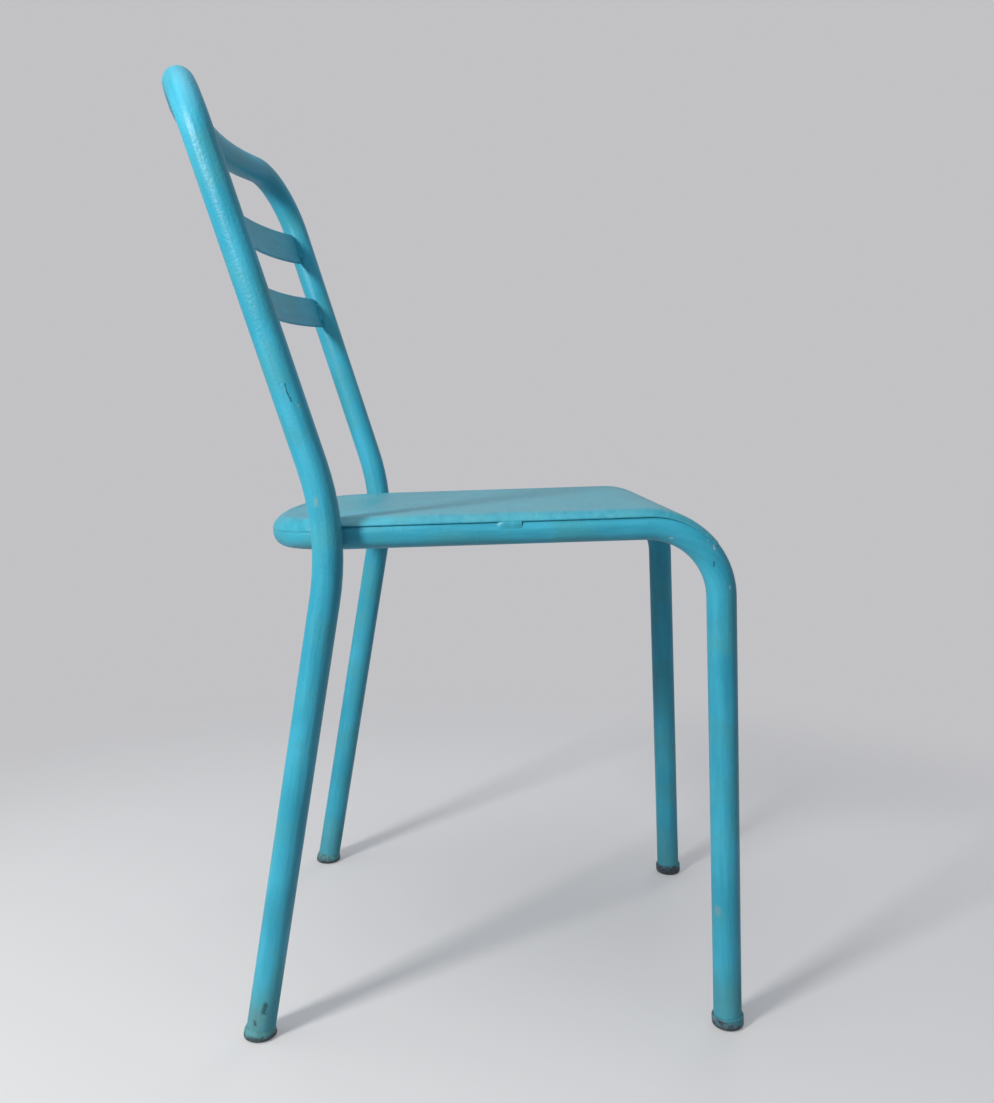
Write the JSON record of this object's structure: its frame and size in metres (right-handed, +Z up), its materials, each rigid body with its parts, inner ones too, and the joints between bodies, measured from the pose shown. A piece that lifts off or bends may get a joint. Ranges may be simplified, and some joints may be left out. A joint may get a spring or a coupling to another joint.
{
  "type": "garden chair",
  "caption": "Stackable garden chair of bent round steel tube with a pressed sheet seat, bowed slats across the raked back and plastic glides on its legs, all painted turquoise.",
  "frame": {"origin": "on the floor, in the middle of the chair's box", "axes": "+Z up, the sitter faces -Y, the sitter's right hand is at -X"},
  "size_m": [0.4166, 0.5095, 0.8015],
  "materials": {
    "frame_paint": "semi-gloss enamel",
    "seat_paint": "semi-gloss enamel, dulled by use",
    "glide_plastic": "worn matte"
  },
  "bodies": {
    "root": {"back_frame": "frame_paint", "seat_frame": "frame_paint", "seat_pan": "seat_paint", "upper_slat": "frame_paint", "lower_slat": "frame_paint", "foot_front_right": "glide_plastic", "foot_front_left": "glide_plastic", "foot_rear_right": "glide_plastic", "foot_rear_left": "glide_plastic", "frame_welds": "frame_paint", "slat_welds": "frame_paint", "pan_welds": "frame_paint"}
  },
  "joints": []
}
